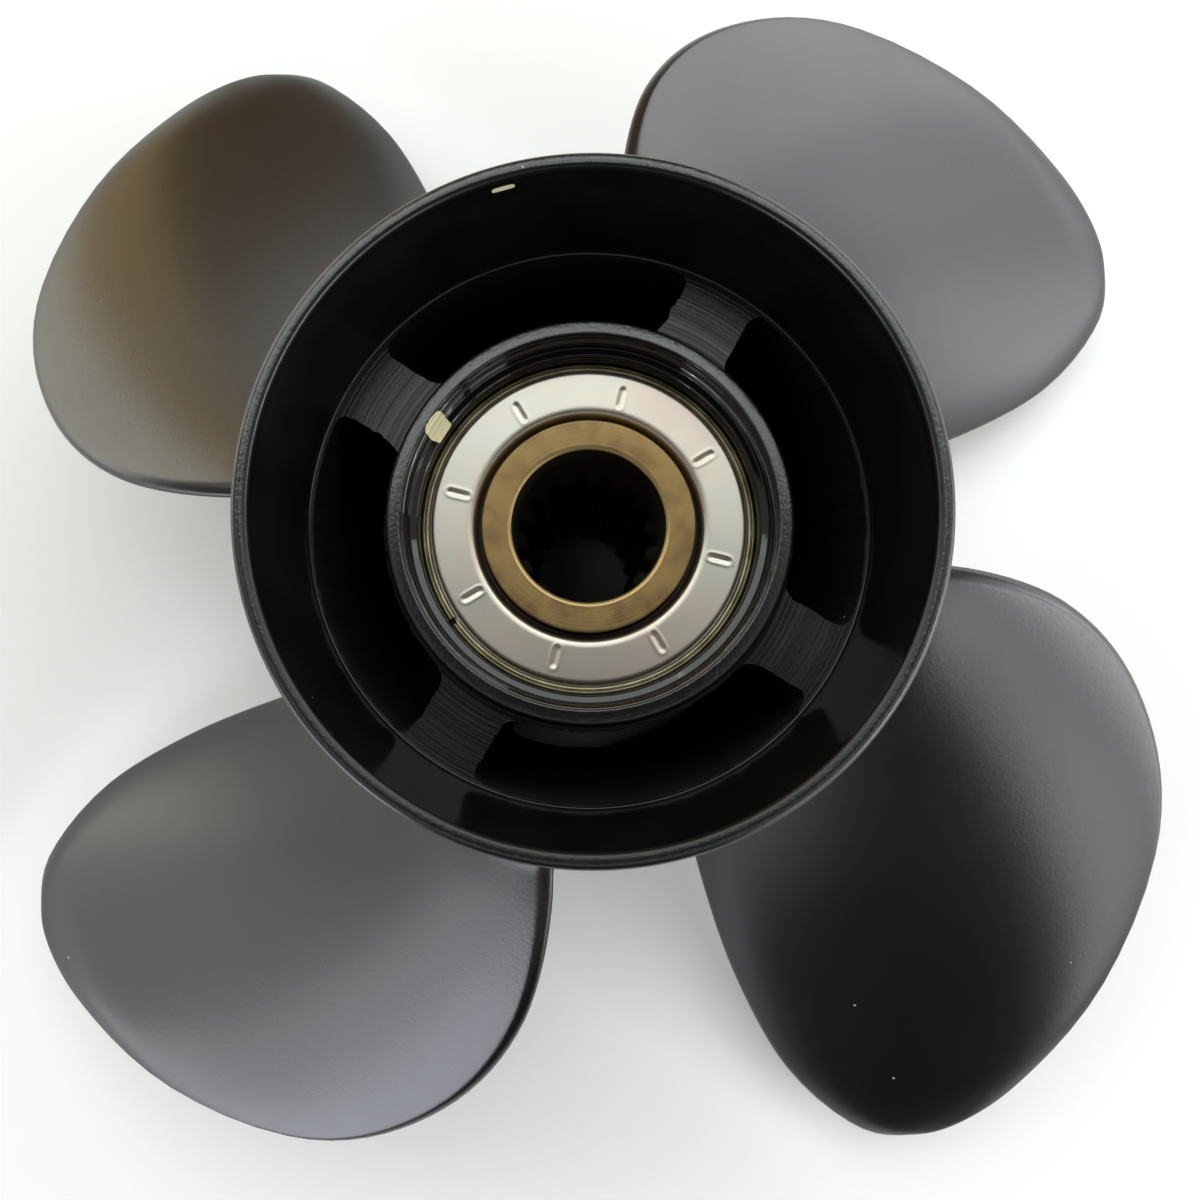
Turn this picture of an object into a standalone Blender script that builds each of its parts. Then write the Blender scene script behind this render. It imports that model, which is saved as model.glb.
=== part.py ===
# A four-bladed boat propeller with an exhaust passage through its barrel.
# It stands on its aft rim. The shaft axis is Z, the front end points up,
# and the origin is on the axis at the aft rim. Driving dimensions are in millimetres.

import math

import bmesh
import bpy
from mathutils import Matrix, Vector

MM = 0.001
CLEARANCE = 0.3

# Barrel: the outer tube with its rounded front rim, its waist and its flared aft rim.
BARREL_LENGTH = 128.0
RIM_RADIUS = 54.2
MOUTH_RADIUS = 51.4
RIM_OUTER_ROUND = 1.3
RIM_INNER_ROUND = 1.2
RIM_ROUND_STEPS = 3
SWELL_HEIGHT = 92.0
WAIST_RADIUS = 52.4
WAIST_HEIGHT = 24.0
AFT_RIM_RADIUS = 57.5
AFT_WALL = 3.6
OUTSIDE_LEVELS = (0.0, 4.0, 9.0, 15.0, WAIST_HEIGHT, 46.0, 70.0, SWELL_HEIGHT)
AFT_INSIDE_LEVELS = (16.0, 7.0, 0.0)
BARREL_SEGMENTS = 80

# Web: the ribs between barrel and inner hub, faced flat at the front.
WEB_DEPTH = 21.6
WEB_AFT_HEIGHT = 24.0
SEAT_RADIUS = 48.4
PASSAGE_RADIUS = 47.6
PASSAGE_INNER_RADIUS = 35.2
PASSAGE_CORNER = 3.0
PASSAGE_TAPER = 0.00085
PASSAGE_STEPS = 12
CORE_OVERRUN = 4.0
RIB_WIDTH = 12.6
RIB_ANGLES = (60.0, 147.0, 237.0, 330.0)

# Inner hub: its lip stands above the web, its bore holds the bush.
HUB_RADIUS = 34.0
HUB_LIP_DEPTH = 14.9
HUB_LIP_FALL = 0.6
HUB_FOOT_FILLET = 2.0
HUB_FOOT_BEND = 0.6
HUB_MOUTH_RADIUS = 31.3
MOUTH_TAPER = 1.6
STEP_RADIUS = 30.4
STEP_DEPTH = 19.4
THROAT_RADIUS = 29.0
GROOVE_RADIUS = 29.5
GROOVE_DEPTH = 22.6
GROOVE_WIDTH = 1.8
BUSH_BORE_RADIUS = 28.6
SHOULDER_RADIUS = 25.0
SHOULDER_HEIGHT = 31.0

# Pieces in the hub bore.
SLEEVE_RADIUS = 18.4
SLEEVE_DEPTH = 20.9
SLEEVE_AFT_HEIGHT = 19.0
SLEEVE_BORE_RADIUS = 13.2
SLEEVE_CHAMFER = 0.8
SLEEVE_EDGE = 0.3
SPLINE_TEETH = 15
SPLINE_HEIGHT = 1.6
SPLINE_START_DEPTH = 36.0
BUSH_DEPTH = 25.6
BUSH_COLLAR_WIDTH = 1.2
BUSH_COLLAR_HEIGHT = 1.4
BUSH_COLLAR_SLOPE = 1.0
BUSH_SEGMENTS = 56
BUSH_TAIL = 3.0
STAMPED_DEPTH = 21.7
STAMPED_INNER_RADIUS = 19.9
STAMPED_SHOULDER_RADIUS = 27.2
STAMPED_THICKNESS = 0.9
STAMPED_DROP = 3.6
STAMPED_EDGE = 0.5
STAMPED_LIP_DROP = 2.4
INDENT_COUNT = 8
INDENT_FIRST_ANGLE = 30.7
INDENT_INNER_RADIUS = 21.2
INDENT_OUTER_RADIUS = 25.2
INDENT_WIDTH = 2.2
INDENT_PRESS = 0.5
INDENT_RUNOUT = 0.4
INDENT_STEPS = 12
SNAP_INNER_RADIUS = 27.7
SNAP_GAP_ANGLE = 214.9
SNAP_GAP_WIDTH = 1.0
SNAP_SEGMENTS = 60

# Blades: a right-handed screw of constant pitch, raked aft.
BLADE_COUNT = 4
BLADE_PHASE = 41.6
PITCH = 412.0
LEAD = PITCH / (2 * math.pi)
ROOT_RADIUS = 50.6
RAKE_FROM_RADIUS = 54.0
RAKE_DEPTH = 72.3
RAKE_SLOPE = 0.306
RAKE_EASE = 0.000375
HUB_THICKNESS = 10.5
TIP_THICKNESS = 4.6
THINNING = 1.5
EDGE_THICKNESS = 2.4
BELLY_FULLNESS = 0.8
CUP = 1.5
CUP_FROM = 0.88
FULL_CHORD = 70.0
FILLET = 4.5
FILLET_REACH = 9.0
FILLET_START = -1.0
CHORD_STEPS = 10
SPAN_ROWS = 24
ROW_CROWDING = 0.6

# Outline of one blade, as (distance round the shaft, radius) from the blade's own line:
# up the leading edge from the root, round the tip, and down the trailing edge.
BLADE_OUTLINE = (
    (31, 50), (46, 62), (64, 90), (68, 115), (57.5, 138), (29, 157.2), (-2, 168.3), (-19.5, 171.4),
    (-32, 170.6), (-43, 163.9), (-47, 142.5), (-41, 113.5), (-30, 84), (-20, 63), (-12, 50),
)
TIP_RADIUS = 171.4


def clear_scene():
    for thing in list(bpy.data.objects):
        bpy.data.objects.remove(thing)


def material(name, colour, roughness, metallic):
    made = bpy.data.materials.new(name)
    made.use_nodes = True
    shader = made.node_tree.nodes["Principled BSDF"]
    shader.inputs["Base Color"].default_value = (*colour, 1.0)
    shader.inputs["Roughness"].default_value = roughness
    shader.inputs["Metallic"].default_value = metallic
    return made


def placed(name, bm, made):
    """Turns a bmesh in millimetres into a named object in metres."""
    bmesh.ops.recalc_face_normals(bm, faces=bm.faces)
    bmesh.ops.scale(bm, vec=(MM, MM, MM), verts=bm.verts)
    mesh = bpy.data.meshes.new(name)
    bm.to_mesh(mesh)
    bm.free()
    mesh.shade_smooth()
    mesh.set_sharp_from_angle(angle=math.radians(32))
    mesh.materials.append(made)
    thing = bpy.data.objects.new(name, mesh)
    bpy.context.scene.collection.objects.link(thing)
    return thing


def height(depth):
    """Height above the floor of a point that lies that far behind the front rim."""
    return BARREL_LENGTH - depth


def turned(profile, segments, sweep=2 * math.pi):
    """Spins a closed outline of (radius, height) points about the shaft axis."""
    bm = bmesh.new()
    verts = [bm.verts.new((radius, 0.0, level)) for radius, level in profile]
    edges = [bm.edges.new((verts[i - 1], verts[i])) for i in range(len(verts))]
    bmesh.ops.spin(
        bm,
        geom=verts + edges,
        cent=(0, 0, 0),
        axis=(0, 0, 1),
        angle=sweep,
        steps=segments,
        use_merge=True,
    )
    return bm


def corner_arc(middle, radius, start):
    """A quarter round of the front rim, about a point at that distance from the shaft axis."""
    points = []
    for i in range(RIM_ROUND_STEPS + 1):
        angle = math.radians(start + 90 * i / RIM_ROUND_STEPS)
        points.append((middle + radius * math.cos(angle), height(radius) + radius * math.sin(angle)))
    return points


def barrel_radius(level):
    """Outer radius of the barrel: flared at the aft rim, narrow at the waist, full at the front."""
    if level < WAIST_HEIGHT:
        return WAIST_RADIUS + (AFT_RIM_RADIUS - WAIST_RADIUS) * (1 - level / WAIST_HEIGHT) ** 2
    rise = min((level - WAIST_HEIGHT) / (SWELL_HEIGHT - WAIST_HEIGHT), 1.0)
    return WAIST_RADIUS + (RIM_RADIUS - WAIST_RADIUS) * rise**2 * (3 - 2 * rise)


def casting_profile():
    """Outline of barrel, web and inner hub in one, before the passages are cored out."""
    web_top = height(WEB_DEPTH)
    groove_top = height(GROOVE_DEPTH)
    groove_foot = groove_top - GROOVE_WIDTH
    outside = [(barrel_radius(level), level) for level in OUTSIDE_LEVELS]
    rim = corner_arc(RIM_RADIUS - RIM_OUTER_ROUND, RIM_OUTER_ROUND, 0)
    rim += corner_arc(MOUTH_RADIUS + RIM_INNER_ROUND, RIM_INNER_ROUND, 90)
    mouth = [
        (SEAT_RADIUS, web_top),
        (HUB_RADIUS + HUB_FOOT_FILLET, web_top),
        (HUB_RADIUS + HUB_FOOT_BEND, web_top + HUB_FOOT_BEND),
        (HUB_RADIUS, web_top + HUB_FOOT_FILLET),
        (HUB_RADIUS, height(HUB_LIP_DEPTH + HUB_LIP_FALL)),
        (HUB_MOUTH_RADIUS, height(HUB_LIP_DEPTH)),
    ]
    bore = [
        (STEP_RADIUS, height(STEP_DEPTH - MOUTH_TAPER)),
        (STEP_RADIUS, height(STEP_DEPTH)),
        (THROAT_RADIUS, height(STEP_DEPTH)),
        (THROAT_RADIUS, groove_top),
        (GROOVE_RADIUS, groove_top),
        (GROOVE_RADIUS, groove_foot),
        (BUSH_BORE_RADIUS, groove_foot),
        (BUSH_BORE_RADIUS, SHOULDER_HEIGHT),
        (SHOULDER_RADIUS, SHOULDER_HEIGHT),
        (SHOULDER_RADIUS, WEB_AFT_HEIGHT),
        (barrel_radius(WEB_AFT_HEIGHT) - AFT_WALL, WEB_AFT_HEIGHT),
    ]
    aft = [(barrel_radius(level) - AFT_WALL, level) for level in AFT_INSIDE_LEVELS]
    return outside + rim + mouth + bore + aft


def sector(radius, start_rib, stop_rib):
    """Points of an arc from the side of one rib to the facing side of the next."""
    inset = math.asin(RIB_WIDTH / 2 / radius)
    start = math.radians(start_rib) + inset
    sweep = math.radians(stop_rib) - inset - start
    points = []
    for i in range(PASSAGE_STEPS + 1):
        angle = start + sweep * i / PASSAGE_STEPS
        points.append((radius * math.cos(angle), radius * math.sin(angle)))
    return points


def narrowed(level):
    """Scale of a passage's plan at that height: 1 at the web's front face, less further aft."""
    return 1 - PASSAGE_TAPER * (height(WEB_DEPTH) - level)


def passage_core(start_rib, stop_rib):
    """The core of one exhaust passage: a round-cornered sector between two ribs, narrower aft."""
    foot = WEB_AFT_HEIGHT - CORE_OVERRUN
    top = height(WEB_DEPTH) + CORE_OVERRUN
    outer = sector(PASSAGE_RADIUS, start_rib, stop_rib)
    inner = sector(PASSAGE_INNER_RADIUS, start_rib, stop_rib)
    scale = narrowed(foot)
    plan = [(x * scale, y * scale) for x, y in outer + inner[::-1]]
    bm = bmesh.new()
    face = bm.faces.new([bm.verts.new((x, y, foot)) for x, y in plan])
    grown = bmesh.ops.extrude_face_region(bm, geom=[face])
    raised = [item for item in grown["geom"] if isinstance(item, bmesh.types.BMVert)]
    bmesh.ops.translate(bm, verts=raised, vec=(0, 0, top - foot))
    spread = narrowed(top) / scale
    bmesh.ops.scale(bm, verts=raised, vec=(spread, spread, 1))
    corner_edges = []
    for edge in bm.edges:
        along = edge.verts[1].co - edge.verts[0].co
        sides = [side.normal for side in edge.link_faces]
        if abs(along.z) > CORE_OVERRUN and sides[0].angle(sides[1]) > math.radians(45):
            corner_edges.append(edge)
    bmesh.ops.bevel(
        bm,
        geom=corner_edges,
        offset=PASSAGE_CORNER,
        offset_type="OFFSET",
        affect="EDGES",
        segments=4,
        profile=0.5,
        material=-1,
    )
    return bm


def smooth_curve(points, position):
    """A point of the curve through all the points; position runs from 0 to 1."""
    last = len(points) - 1
    at = min(position * last, last - 1e-9)
    i = int(at)
    t = at - i
    before = points[max(i - 1, 0)]
    start = points[i]
    stop = points[i + 1]
    after = points[min(i + 2, last)]
    return tuple(
        0.5 * (2 * b + (c - a) * t + (2 * a - 5 * b + 4 * c - d) * t**2 + (3 * b - a - 3 * c + d) * t**3)
        for a, b, c, d in zip(before, start, stop, after)
    )


def blade_point(round_distance, radius, offset):
    """A point of the blade, offset along the normal of its screw surface."""
    turn = round_distance / radius
    angle = math.radians(BLADE_PHASE) + turn
    out = radius - RAKE_FROM_RADIUS
    level = height(RAKE_DEPTH + RAKE_SLOPE * out - RAKE_EASE * out**2) + LEAD * turn
    around = Vector((-math.sin(angle), math.cos(angle), 0.0))
    normal = (Vector((0.0, 0.0, radius)) - around * LEAD).normalized()
    return Vector((radius * math.cos(angle), radius * math.sin(angle), level)) + normal * offset


def blade_section(position):
    """One closed section of the blade: front face from the leading edge, then back along the aft face."""
    lead_u, lead_r = smooth_curve(BLADE_OUTLINE, position / 2)
    trail_u, trail_r = smooth_curve(BLADE_OUTLINE, 1 - position / 2)
    out = (lead_r + trail_r) / 2 - RAKE_FROM_RADIUS
    outwards = min(max(out / (TIP_RADIUS - RAKE_FROM_RADIUS), 0.0), 1.0)
    chord = math.hypot(lead_u - trail_u, lead_r - trail_r)
    full = min(chord / FULL_CHORD, 1.0)
    belly = TIP_THICKNESS + (HUB_THICKNESS - TIP_THICKNESS) * (1 - outwards) ** THINNING
    swell = FILLET * max(0.0, 1 - (out - FILLET_START) / FILLET_REACH) ** 2
    front = []
    aft = []
    for i in range(CHORD_STEPS + 1):
        share = (1 - math.cos(math.pi * i / CHORD_STEPS)) / 2
        fullness = full * math.sin(math.pi * share) ** BELLY_FULLNESS
        thickness = EDGE_THICKNESS + (belly - EDGE_THICKNESS) * fullness
        curl = CUP * full * max(0.0, (share - CUP_FROM) / (1 - CUP_FROM)) ** 2
        round_distance = lead_u + (trail_u - lead_u) * share + swell * (1 - 2 * share)
        radius = max(lead_r + (trail_r - lead_r) * share, ROOT_RADIUS)
        front.append(blade_point(round_distance, radius, thickness - EDGE_THICKNESS / 2 + swell - curl))
        aft.append(blade_point(round_distance, radius, -EDGE_THICKNESS / 2 - swell - curl))
    return front + aft[::-1]


def blade(number):
    """One blade from inside the barrel wall to its tip, its rows closer at both ends."""
    bm = bmesh.new()
    previous = None
    for row in range(SPAN_ROWS):
        share = row / SPAN_ROWS
        position = share - ROW_CROWDING * math.sin(2 * math.pi * share) / (2 * math.pi)
        verts = [bm.verts.new(point) for point in blade_section(position)]
        loop = [bm.edges.new((verts[i - 1], verts[i])) for i in range(len(verts))]
        if previous:
            bmesh.ops.bridge_loops(bm, edges=previous + loop)
        previous = loop
    bmesh.ops.holes_fill(bm, edges=bm.edges, sides=0)
    bmesh.ops.triangulate(bm, faces=bm.faces)
    turn = Matrix.Rotation(2 * math.pi * number / BLADE_COUNT, 3, "Z")
    bmesh.ops.rotate(bm, verts=bm.verts, cent=(0, 0, 0), matrix=turn)
    return bm


def combine(base, tool, operation):
    """Adds a Boolean modifier and keeps its tool as a hidden guide."""
    step = base.modifiers.new(tool.name, "BOOLEAN")
    step.operation = operation
    step.solver = "EXACT"
    step.object = tool
    tool.hide_render = True
    tool.display_type = "WIRE"


def propeller_casting():
    paint = material("satin_black_paint", (0.03, 0.03, 0.032), 0.38, 0.0)
    casting = placed("propeller_casting", turned(casting_profile(), BARREL_SEGMENTS), paint)
    next_ribs = RIB_ANGLES[1:] + (RIB_ANGLES[0] + 360.0,)
    for number, (rib, next_rib) in enumerate(zip(RIB_ANGLES, next_ribs), 1):
        core = placed(f"passage_core_{number}", passage_core(rib, next_rib), paint)
        combine(casting, core, "DIFFERENCE")
    for number in range(BLADE_COUNT):
        wing = placed(f"blade_guide_{number + 1}", blade(number), paint)
        combine(casting, wing, "UNION")
    return casting


def brass_sleeve():
    brass = material("aged_brass", (0.32, 0.20, 0.075), 0.42, 1.0)
    top = height(SLEEVE_DEPTH)
    spline_top = height(SPLINE_START_DEPTH)
    minor = SLEEVE_BORE_RADIUS - SPLINE_HEIGHT
    outer = SLEEVE_RADIUS
    bore = SLEEVE_BORE_RADIUS
    # Each level is outer radius, tooth tip radius, groove radius and height.
    levels = (
        (outer, minor, bore, SLEEVE_AFT_HEIGHT),
        (outer, minor, bore, spline_top - SPLINE_HEIGHT),
        (outer, bore, bore, spline_top),
        (outer, bore, bore, top - SLEEVE_CHAMFER),
        (outer - SLEEVE_EDGE, bore + SLEEVE_CHAMFER, bore + SLEEVE_CHAMFER, top),
    )
    corners = SPLINE_TEETH * 4
    bm = bmesh.new()

    def ring(radii, level):
        verts = []
        for i in range(corners):
            angle = 2 * math.pi * (i + 0.5) / corners
            radius = radii[0] if i % 4 in (0, 1) else radii[1]
            verts.append(bm.verts.new((radius * math.cos(angle), radius * math.sin(angle), level)))
        return [bm.edges.new((verts[i - 1], verts[i])) for i in range(corners)]

    outside = [ring((level[0], level[0]), level[3]) for level in levels]
    inside = [ring((level[1], level[2]), level[3]) for level in levels]
    for wall in (outside, inside):
        for lower, upper in zip(wall, wall[1:]):
            bmesh.ops.bridge_loops(bm, edges=lower + upper)
    for end in (0, -1):
        bmesh.ops.bridge_loops(bm, edges=outside[end] + inside[end])
    return placed("brass_sleeve", bm, brass)


def rubber_bush():
    rubber = material("bush_rubber", (0.02, 0.02, 0.02), 0.8, 0.0)
    inner = SLEEVE_RADIUS + CLEARANCE
    outer = BUSH_BORE_RADIUS - CLEARANCE
    tail = SHOULDER_RADIUS - CLEARANCE
    top = height(BUSH_DEPTH)
    foot = SHOULDER_HEIGHT + CLEARANCE
    profile = [
        (outer, foot),
        (outer, top),
        (inner + BUSH_COLLAR_WIDTH + BUSH_COLLAR_SLOPE, top),
        (inner + BUSH_COLLAR_WIDTH, top + BUSH_COLLAR_HEIGHT),
        (inner, top + BUSH_COLLAR_HEIGHT),
        (inner, foot - BUSH_TAIL),
        (tail - BUSH_TAIL / 2, foot - BUSH_TAIL),
        (tail, foot - BUSH_TAIL / 2),
        (tail, foot),
    ]
    return placed("rubber_bush", turned(profile, BUSH_SEGMENTS), rubber)


def stamped_ring():
    steel = material("pressed_stainless", (0.62, 0.60, 0.57), 0.28, 1.0)
    top = height(STAMPED_DEPTH)
    foot = top - STAMPED_DROP
    inner = STAMPED_INNER_RADIUS
    shoulder = STAMPED_SHOULDER_RADIUS
    sheet = STAMPED_THICKNESS
    underside = top - sheet - INDENT_PRESS
    flange = BUSH_BORE_RADIUS - CLEARANCE
    # Each point of the section is (radius, height), from the outer flange over the top and in.
    profile = [
        (flange, foot),
        (flange, foot + sheet),
        (shoulder, foot + sheet),
        (shoulder, top - STAMPED_EDGE),
        (shoulder - STAMPED_EDGE, top),
        (INDENT_OUTER_RADIUS + INDENT_RUNOUT, top),
        (INDENT_OUTER_RADIUS - INDENT_RUNOUT, top),
        (INDENT_INNER_RADIUS + INDENT_RUNOUT, top),
        (INDENT_INNER_RADIUS - INDENT_RUNOUT, top),
        (inner + STAMPED_EDGE, top),
        (inner, top - STAMPED_EDGE),
        (inner, top - STAMPED_LIP_DROP),
        (inner + sheet, top - STAMPED_LIP_DROP),
        (inner + sheet, underside),
        (shoulder - sheet, underside),
        (shoulder - sheet, foot),
    ]
    bm = turned(profile, INDENT_COUNT * INDENT_STEPS)
    for vert in bm.verts:
        radius = math.hypot(vert.co.x, vert.co.y)
        on_indents = INDENT_INNER_RADIUS < radius < INDENT_OUTER_RADIUS
        if not on_indents or vert.co.z < underside + sheet:
            continue
        spacing = 360.0 / INDENT_COUNT
        angle = math.degrees(math.atan2(vert.co.y, vert.co.x)) - INDENT_FIRST_ANGLE
        away = abs((angle + spacing / 2) % spacing - spacing / 2)
        if math.radians(away) * radius < INDENT_WIDTH / 2:
            vert.co.z -= INDENT_PRESS
    return placed("stamped_ring", bm, steel)


def snap_ring():
    olive = material("olive_spring_steel", (0.20, 0.17, 0.07), 0.45, 0.9)
    outer = GROOVE_RADIUS - CLEARANCE
    inner = SNAP_INNER_RADIUS
    top = height(GROOVE_DEPTH) - CLEARANCE
    foot = height(STAMPED_DEPTH) - STAMPED_DROP + STAMPED_THICKNESS + CLEARANCE
    profile = [(outer, foot), (outer, top), (inner, top), (inner, foot)]
    gap = SNAP_GAP_WIDTH / inner
    bm = turned(profile, SNAP_SEGMENTS, sweep=2 * math.pi - gap)
    bmesh.ops.holes_fill(bm, edges=bm.edges, sides=0)
    turn = Matrix.Rotation(math.radians(SNAP_GAP_ANGLE) + gap / 2, 3, "Z")
    bmesh.ops.rotate(bm, verts=bm.verts, cent=(0, 0, 0), matrix=turn)
    return placed("snap_ring", bm, olive)


clear_scene()
propeller_casting()
brass_sleeve()
rubber_bush()
stamped_ring()
snap_ring()
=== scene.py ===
import math

import bmesh
import bpy
from mathutils import Matrix, Vector, noise


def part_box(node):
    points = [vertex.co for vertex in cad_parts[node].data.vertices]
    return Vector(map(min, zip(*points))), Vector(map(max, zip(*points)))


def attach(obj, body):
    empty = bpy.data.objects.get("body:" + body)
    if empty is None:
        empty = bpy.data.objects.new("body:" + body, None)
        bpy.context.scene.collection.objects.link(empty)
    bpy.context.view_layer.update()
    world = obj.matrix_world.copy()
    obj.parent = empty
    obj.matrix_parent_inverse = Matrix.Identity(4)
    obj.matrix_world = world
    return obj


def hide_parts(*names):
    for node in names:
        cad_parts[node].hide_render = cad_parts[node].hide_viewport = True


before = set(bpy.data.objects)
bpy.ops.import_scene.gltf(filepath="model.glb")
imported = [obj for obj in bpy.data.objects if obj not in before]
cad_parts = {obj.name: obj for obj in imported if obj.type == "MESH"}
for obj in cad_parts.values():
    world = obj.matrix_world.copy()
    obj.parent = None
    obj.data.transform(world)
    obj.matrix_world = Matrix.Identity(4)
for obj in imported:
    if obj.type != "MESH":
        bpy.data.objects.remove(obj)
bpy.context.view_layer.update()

MM = 0.001

# Boxes that the frame gives, in metres, and the sizes taken from them, in millimetres.
_, CASTING_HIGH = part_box("propeller_casting")
SLEEVE_LOW, SLEEVE_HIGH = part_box("brass_sleeve")
BUSH_LOW, BUSH_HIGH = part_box("rubber_bush")
STAMPED_LOW, STAMPED_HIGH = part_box("stamped_ring")
SNAP_LOW, SNAP_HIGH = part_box("snap_ring")
FRONT = CASTING_HIGH.z / MM
SLEEVE_FACE = SLEEVE_HIGH.z / MM
SLEEVE_FOOT = SLEEVE_LOW.z / MM
SLEEVE_RADIUS = SLEEVE_HIGH.x / MM
BUSH_TOP = BUSH_HIGH.z / MM
BUSH_FOOT = BUSH_LOW.z / MM
STAMPED_TOP = STAMPED_HIGH.z / MM
STAMPED_FOOT = STAMPED_LOW.z / MM
SNAP_TOP = SNAP_HIGH.z / MM
SNAP_FOOT = SNAP_LOW.z / MM

# Barrel.
RIM_RADIUS = 54.2
RIM_FALL = 0.15
MOUTH_RADIUS = 51.4
MOUTH_EDGE_DEPTH = 2.0
SWELL_HEIGHT = 92.0
WAIST_RADIUS = 52.4
WAIST_HEIGHT = 24.0
RIM_BAND = 1.2
AFT_RIM_RADIUS = 57.5
AFT_WALL = 3.6
WEB_TOP = FRONT - 21.6
WEB_FOOT = 24.0
SEAT_RADIUS = 48.4
SEAT_CHAMFER = 0.35
SEAT_CHAMFER_HEIGHT = 0.3
PASSAGE_RADIUS = 47.6
PASSAGE_INNER_RADIUS = 35.2
PASSAGE_CORNER = 3.0
PASSAGE_TAPER = 0.00085
CORE_UNEVENNESS = 0.35
BROAD_WAVES = 0.45
FINE_WAVES = 1.4
FINE_WAVES_LEVEL = 7.0
FINE_WAVES_SHARE = 0.6
CORE_OVERRUN = 4.0
RIB_WIDTH = 12.6
RIB_ANGLES = (60.0, 147.0, 237.0, 330.0)

# Inner hub.
HUB_RADIUS = 34.0
LIP_HEIGHT = FRONT - 14.9
LIP_FALL = 0.6
LIP_INNER_RADIUS = 31.3
LIP_STEP = 0.25
LIP_BAND = 0.9
LIP_GROOVE = 0.2
LIP_CONE_DEPTH = 2.6
STEP_RADIUS = 30.4
STEP_HEIGHT = FRONT - 19.4
LEDGE_FALL = 0.6
THROAT_RADIUS = 29.0
GROOVE_RADIUS = 29.5
GROOVE_TOP = FRONT - 22.6
GROOVE_WIDTH = 1.8
BUSH_BORE_RADIUS = 28.6
SHOULDER_RADIUS = 25.0
SHOULDER_HEIGHT = 31.0

# Blades: a right-handed screw of constant pitch, raked aft.
BLADE_COUNT = 4
BLADE_PHASE = 41.6
PITCH = 412.0
LEAD = PITCH / (2 * math.pi)
RAKE_FROM_RADIUS = 54.0
RAKE_DEPTH = 72.3
RAKE_SLOPE = 0.306
RAKE_EASE = 0.000375
HUB_THICKNESS = 10.5
TIP_THICKNESS = 4.6
THINNING = 1.5
EDGE_THICKNESS = 2.4
BELLY_FULLNESS = 0.8
CUP = 1.5
CUP_FROM = 0.88
FULL_CHORD = 70.0
NARROWEST_SHARE = 0.45
ROOT_SINK = 1.8
FILLET = 7.0
TIP_FROM_RADIUS = 142.0
BLADE_OUTLINE = (
    (31, 50), (46, 62), (64, 90), (68, 115), (57.5, 138), (29, 157.2), (-2, 168.3), (-19.5, 171.4),
    (-32, 170.6), (-43, 163.9), (-47, 142.5), (-41, 113.5), (-30, 84), (-20, 63), (-12, 50),
)
TIP_RADIUS = 171.4
OUTERMOST_POSITION = 0.75
HALVINGS = 40

# Fine counts.
TURN_STEPS = 240
EDGE_STEPS = 5
BODY_STEPS = 22
FILLET_ROWS = 14
CROWDING = 1.3
BODY_ROWS = 26
TIP_ROWS = 20
ARC_STEPS = 44
SIDE_STEPS = 10
CORNER_STEPS = 5
FLARE_STEPS = 10
SWELL_STEPS = 12
MERGE_DISTANCE = 0.0005
SHARP_ANGLE = math.radians(35)

# How the finishes of the casting are told apart: by the upward part of a face's normal, and by
# nearness to a level or radius.
RIM_FLATNESS = 0.96
FLATNESS = 0.9
STEEPNESS = 0.5
NEAR = 0.1
HUB_BAND = 0.5

# Camera.
PHOTO_SIZE = 1200
FOCAL_PIXELS = 898.3
AXIS_PIXEL = (559.6, 620.1)
SENSOR = 36.0
TILT_X = 0.06356
TILT_Y = 0.01083
RIM_IN_VIEW = Vector((4.738, 17.571, 133.09))


def set_camera():
    """Looks down the shaft axis at the front end, from where the photograph was taken."""
    camera = bpy.data.cameras.new("photo_camera")
    camera.sensor_width = SENSOR
    camera.lens = SENSOR * FOCAL_PIXELS / PHOTO_SIZE
    camera.shift_x = (PHOTO_SIZE / 2 - AXIS_PIXEL[0]) / PHOTO_SIZE
    camera.shift_y = (AXIS_PIXEL[1] - PHOTO_SIZE / 2) / PHOTO_SIZE
    camera.clip_start = 0.005
    tilt_x = Matrix.Rotation(TILT_X, 3, "X")
    tilt_y = Matrix.Rotation(TILT_Y, 3, "Y")
    flip = Matrix.Diagonal((1, 1, -1))
    to_camera = flip @ tilt_x @ tilt_y @ flip
    place = Vector((0, 0, FRONT)) - to_camera.transposed() @ (flip @ RIM_IN_VIEW)
    thing = bpy.data.objects.new("photo_camera", camera)
    thing.matrix_world = Matrix.Translation(place * MM) @ to_camera.transposed().to_4x4()
    bpy.context.scene.collection.objects.link(thing)
    bpy.context.scene.camera = thing


# Materials.
# Touches of cream paint, as angle about the shaft in degrees, length round the wall, height
# above the floor of the middle, height of the touch, and radius of the wall.
CREAM_MARKS = (
    (147.5, 4.5, FRONT - 17.4, 4.6, STEP_RADIUS),
    (105.2, 3.6, FRONT - 2.6, 0.9, MOUTH_RADIUS),
)
CREAM = (0.75, 0.68, 0.42)
MARK_DEPTH = 2.0
DUST = (0.45, 0.45, 0.43)
BRASS_TAN = (0.286, 0.190, 0.081)
MOUTH_FROM_RADIUS = 40.0
FINE_RELIEF = 0.0002


def shader_group(name, inputs, outputs):
    """A shader node group with named number inputs and outputs; returns its tree and end nodes."""
    tree = bpy.data.node_groups.new(name, "ShaderNodeTree")
    for label, value in inputs:
        socket = tree.interface.new_socket(label, in_out="INPUT", socket_type="NodeSocketFloat")
        socket.default_value = value
    for label in outputs:
        tree.interface.new_socket(label, in_out="OUTPUT", socket_type="NodeSocketFloat")
    return tree, tree.nodes.new("NodeGroupInput"), tree.nodes.new("NodeGroupOutput")


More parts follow.
